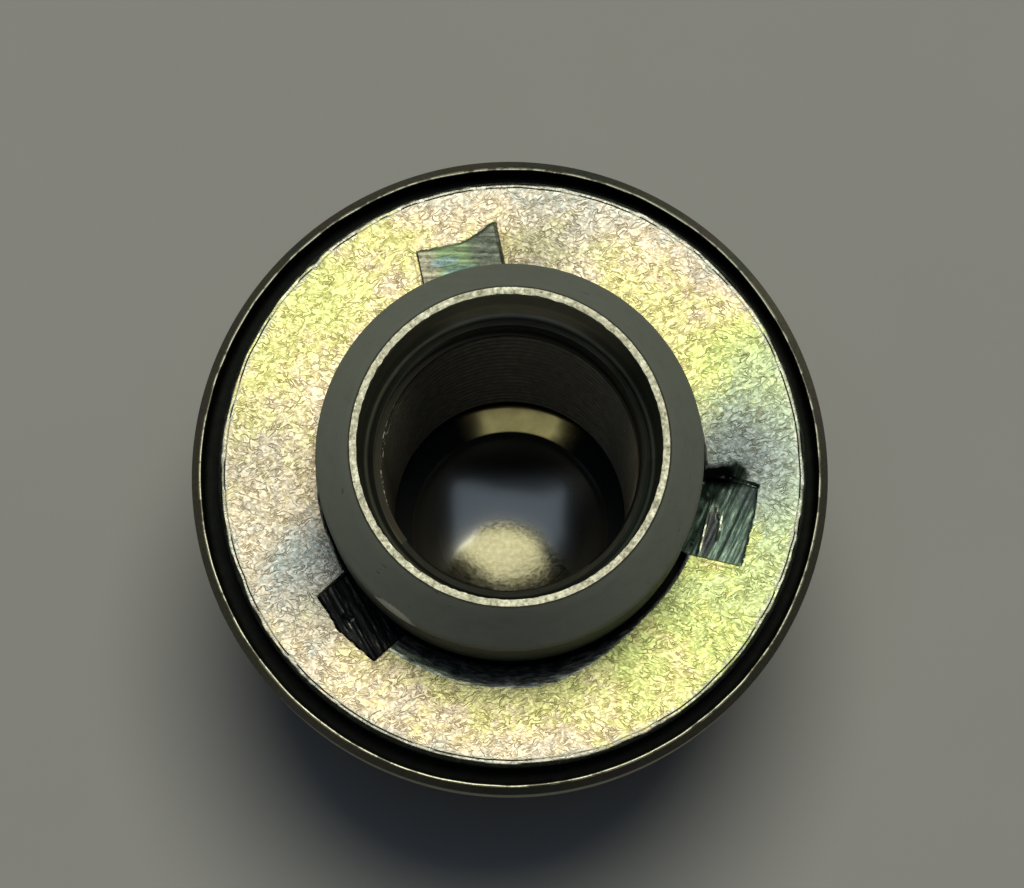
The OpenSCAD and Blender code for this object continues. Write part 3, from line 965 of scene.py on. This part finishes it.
def stake_steel():
    """Stake floors streaked by the tool: green, dark green and nearly black, partly painted reflection and
    shade of the shank.
    """
    mat = Finish("stake_steel", 0.8, 0.45)
    place = mat.from_washer()
    blotch = mat.noise(2.6, 3, 0.6)
    speckle = mat.noise(4.5, 3, 0.6, 0.6)
    spotted = mat.ramp(speckle, [(0.35, 0.55), (0.65, 1.45)])
    colour = None
    for stake in STAKES:
        local = mat.turned(place, stake["angle"])
        x, u, _ = mat.split(local)
        across = mat.minus(x, mat.times(u, GRAIN_LEAN))
        streaks_at = mat.joined(across, mat.times(u, 0.1), stake["angle"])
        streaks = mat.noise(7.5, 4, 0.7, 0.15, streaks_at)
        made = mat.ramp(streaks, stake["tones"])
        for at, reach, tint, share in stake["tints"]:
            off = mat.reach(local, (*at, 0), (1 / reach[0], 1 / reach[1], 0))
            edge = mat.plus(off, mat.times(blotch, 0.5))
            near = mat.times(mat.step(edge, 1.45, 0.75), share)
            made = mat.mix(near, made, mat.tinted(spotted, tint))
        if colour is None:
            colour = made
            first_streaks = streaks
        else:
            ahead = mat.step(x, WASHER_BORE_R - 1.5, WASHER_BORE_R - 0.9)
            here = mat.times(ahead, mat.step(mat.maths("ABSOLUTE", u), 4.6, 4))
            colour = mat.mix(here, colour, made)
    mat.set("Base Color", colour)
    return mat.bumped(mat.blend(mat.noise(4.5, 4, 0.65), first_streaks, 0.5), 0.02)


def cap_zinc():
    """The pressed cap: smooth zinc, faintly golden, with soft spots and fine drawing marks."""
    mat = Finish("cap_zinc", 1, 0.34)
    colour = mat.ramp(mat.noise(0.45, 3, 0.55), [
        (0.3, (0.5, 0.56, 0.36)), (0.45, (0.66, 0.61, 0.32)), (0.58, (0.7, 0.6, 0.36)),
        (0.72, (0.58, 0.48, 0.42))])
    drawn = mat.noise(4, 4, 0.6, 0, mat.tall(0.12))
    fine = mat.noise(6, 4, 0.6)
    marks = mat.blend(drawn, fine, 0.6)
    mat.set("Base Color", mat.tinted(colour, mat.ramp(marks, [(0.3, 0.72), (0.7, 1.12)])))
    mat.set("Roughness", mat.ramp(fine, [(0.3, 0.28), (0.7, 0.42)]))
    return mat.bumped(marks, 0.02)


def cap_wall():
    """The cap's inner wall and corner: near black, with a painted golden reflection on the +Y side."""
    mat = Finish("cap_wall", 0.9, 0.5, 0.2)
    radius, turn = mat.polar(mat.mm)
    soft = mat.noise(0.9, 3, 0.55)
    fine = mat.noise(2.2, 3, 0.55)
    # Painted reflection: a golden patch on the +Y side of the corner, shinier than the rest
    side = mat.near_turn(mat.plus(turn, mat.times(soft, 0.02)), 0.245, 0.045, 0.05)
    out = mat.minus(radius, DISH_EDGE_R)
    painted_reflection = mat.times(side, mat.step(out, 0, 0.18), mat.step(out, 1.62, 1.37))
    dark = mat.ramp(fine, [(0.3, (0.006, 0.0065, 0.005)), (0.7, (0.012, 0.012, 0.008))])
    gold = mat.ramp(soft, [(0.35, (0.78, 0.57, 0.17)), (0.65, (0.96, 0.71, 0.23))])
    mat.set("Base Color", mat.mix(painted_reflection, dark, gold))
    mat.set("Metallic", mat.times(painted_reflection, 0.9))
    mat.set("Roughness", mat.minus(0.62, mat.times(painted_reflection, 0.3)))
    return mat.bumped(fine, 0.01)


def cap_dish():
    """The dished floor: mirror-smooth under dark oil, with a speckled golden film over its -Y half."""
    mat = Finish("cap_dish", 0, 0.12, 0.62)
    x, y, _ = mat.split(mat.mm)
    out = mat.minus(mat.polar(mat.mm)[0], DISH_EDGE_R)
    soft = mat.noise(0.7, 3, 0.5)
    fine = mat.noise(4, 4, 0.65)
    oil = mat.ramp(fine, [(0.3, (0.003, 0.0035, 0.003)), (0.7, (0.008, 0.008, 0.006))])
    mat.set("Base Color", mat.mix(mat.step(out, -1.98, -0.38), oil, (0.045, 0.041, 0.029)))

    # The film ends along a wavering arch, and the dish reflects less near its rim and on its +Y side
    aside = mat.maths("POWER", mat.maths("ABSOLUTE", mat.plus(x, 0.1)), 2)
    edge = mat.plus(y, mat.plus(mat.times(aside, 0.25), mat.times(soft, 1.2)))
    golden = mat.step(edge, 1.6, 0.7)
    clear = mat.times(mat.step(y, 3.9, 2.6), mat.step(out, -0.13, -0.38))
    film = mat.ramp(fine, [
        (0.35, (0.43, 0.41, 0.25)), (0.5, (0.53, 0.5, 0.31)), (0.65, (0.65, 0.63, 0.44))])
    tint = mat.mix(clear, (0.2, 0.2, 0.16), mat.mix(golden, (1, 0.98, 0.8), film))
    mat.set("Specular Tint", mat.mix(mat.step(out, -0.38, -0.23), tint, (0.04, 0.04, 0.035)))
    rough = mat.ramp(fine, [(0.35, 0.08), (0.65, 0.12)])
    mat.set("Roughness", mat.mix(golden, (0.11, 0.11, 0.11), rough))
    return mat.bumped(mat.plus(mat.noise(0.3, 0, 0.5), mat.times(fine, golden, 0.05)), 0.05)


# ------------ pieces

nut = nut_body([
    shank_steel(), worn_steel("land_steel", 0.35, 0.265, 0.45), plated_steel(), recess_steel(),
    bore_steel(), thread_steel(), worn_steel("crest_steel", 0.88, 0.92, 1.1)])
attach(nut, "nut")
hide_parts("nut_body")

cap = end_cap([cap_zinc(), cap_wall(), cap_dish()])
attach(cap, "nut")
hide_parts("end_cap")

ring = washer([washer_zinc(), washer_bevel(), stake_steel(), washer_edge(), washer_burr()])
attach(ring, "washer")
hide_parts("washer")


# ------------ studio and camera

def floor():
    size = 3  # metres
    mesh = bpy.data.meshes.new("floor")
    corners = [(-size, -size, 0), (size, -size, 0), (size, size, 0), (-size, size, 0)]
    mesh.from_pydata(corners, [], [(0, 1, 2, 3)])
    mat = Finish("floor_paper", 0, 0.9, 0.1)
    cloud = mat.noise(0.03, 4, 0.6)
    mat.set("Base Color", mat.ramp(cloud, [(0.3, (0.304, 0.306, 0.294)), (0.7, (0.318, 0.32, 0.307))]))
    mesh.materials.append(mat.material)
    plane = put("floor", mesh)


def softbox(name, lean_north, lean_east, distance, size, power, colour):
    """A soft lamp, these degrees off the zenith: round, or oblong for two sizes. Lengths are metres."""
    lamp = bpy.data.lights.new(name, "AREA")
    if isinstance(size, tuple):
        lamp.shape = "RECTANGLE"
        lamp.size, lamp.size_y = size
    else:
        lamp.shape = "DISK"
        lamp.size = size
    lamp.energy = power
    lamp.color = colour
    thing = put(name, lamp)
    north, east = math.radians(lean_north), math.radians(lean_east)
    away = Vector((math.tan(east), math.tan(north), 1)).normalized()
    nut_middle = Vector((0, 0, 0.03))
    thing.location = nut_middle + away * distance
    thing.rotation_euler = (-north, east, 0)
    thing.visible_camera = False


def sky():
    """A dim room, a little brighter overhead."""
    world = bpy.data.worlds.new("room")
    bpy.context.scene.world = world
    world.use_nodes = True
    tree = world.node_tree
    tree.nodes.clear()
    coords = add_node(tree, "ShaderNodeTexCoord").outputs["Generated"]
    up = add_node(tree, "ShaderNodeSeparateXYZ", {0: coords}).outputs["Z"]
    ramp = add_node(tree, "ShaderNodeValToRGB", {"Fac": up})
    fill_ramp(ramp, [(0, 0.024), (0.6, (0.028, 0.029, 0.03)), (1, (0.032, 0.034, 0.036))])
    background = add_node(tree, "ShaderNodeBackground", {"Color": ramp.outputs["Color"]})
    add_node(tree, "ShaderNodeOutputWorld", {"Surface": background.outputs["Background"]})


def camera():
    """The photo's view: nearly straight down, from a little to the -Y side."""
    tilt = math.radians(5.9)
    distance = 0.2298  # metres, from a point just above the mouth
    data = bpy.data.cameras.new("camera")
    data.lens = 174.3
    data.sensor_width = 36
    thing = put("camera", data)
    target = np.array([0.109, 0, END_Z + 1]) * MM
    thing.location = target + distance * np.array([0, -math.sin(tilt), math.cos(tilt)])
    thing.rotation_euler = (tilt, 0, 0)
    bpy.context.scene.camera = thing


floor()
softbox("key", lean_north=12.6, lean_east=2.2, distance=0.62, size=0.209, power=2.65, colour=(1, 0.97, 0.8))
softbox("overhead", lean_north=3.8, lean_east=0, distance=0.62, size=(0.25, 0.228), power=0.36,
        colour=(0.76, 0.95, 1.34))
sky()
camera()
bpy.context.scene.view_settings.view_transform = "Standard"
